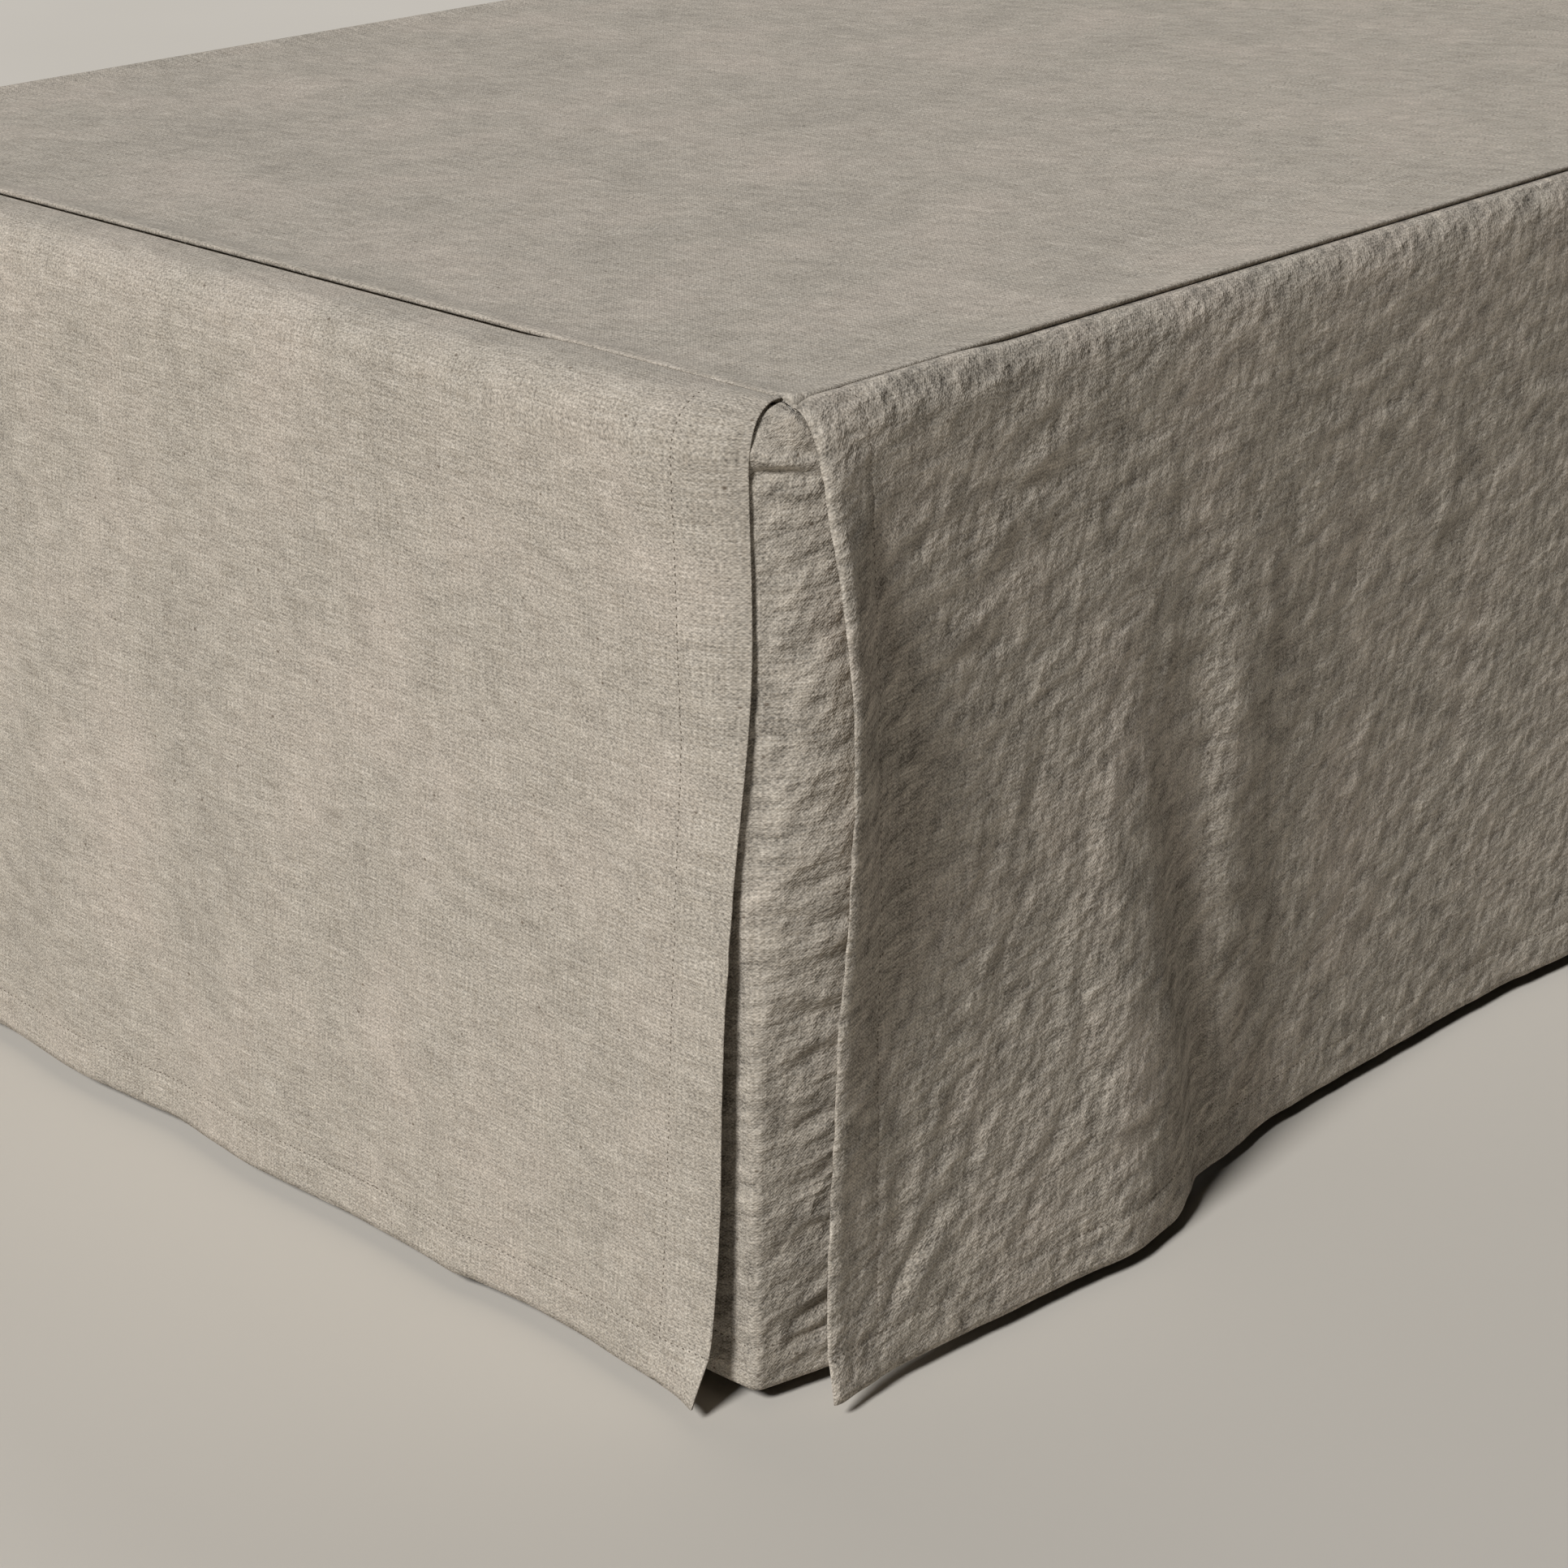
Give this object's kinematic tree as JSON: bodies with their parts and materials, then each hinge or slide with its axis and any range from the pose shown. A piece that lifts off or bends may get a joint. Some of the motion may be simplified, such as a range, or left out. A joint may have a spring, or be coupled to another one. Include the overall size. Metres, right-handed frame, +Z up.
{
  "type": "bed skirt on bed base",
  "caption": "Tailored linen bed skirt with split foot corners and creased inserts behind them, hanging from a flat deck over a plain bed base on turned legs.",
  "frame": {"origin": "centre of the bed's footprint on the floor", "axes": "+Z up, +Y from the foot of the bed to its head, +X to the bed's right side as seen from its foot"},
  "size_m": [0.9938, 2.0346, 0.5156],
  "materials": {
    "drop_foot_linen": "plain-weave natural linen, slubby, matt",
    "drop_right_linen": "plain-weave natural linen, slubby, matt",
    "drop_left_linen": "plain-weave natural linen, slubby, matt",
    "corner_insert_right_linen": "plain-weave natural linen, slubby, matt",
    "corner_insert_left_linen": "plain-weave natural linen, slubby, matt",
    "deck_linen": "plain-weave natural linen, slubby, matt",
    "base_ticking": "plain woven ticking, matt",
    "leg_foot_right_birch": "oiled birch, satin",
    "leg_foot_left_birch": "oiled birch, satin",
    "leg_head_right_birch": "oiled birch, satin",
    "leg_head_left_birch": "oiled birch, satin"
  },
  "bodies": {
    "root": {"drop_foot": "drop_foot_linen", "drop_right": "drop_right_linen", "drop_left": "drop_left_linen", "corner_insert_right": "corner_insert_right_linen", "corner_insert_left": "corner_insert_left_linen", "deck": "deck_linen", "bed_base": "base_ticking", "leg_foot_right": "leg_foot_right_birch", "leg_foot_left": "leg_foot_left_birch", "leg_head_right": "leg_head_right_birch", "leg_head_left": "leg_head_left_birch"}
  },
  "joints": []
}
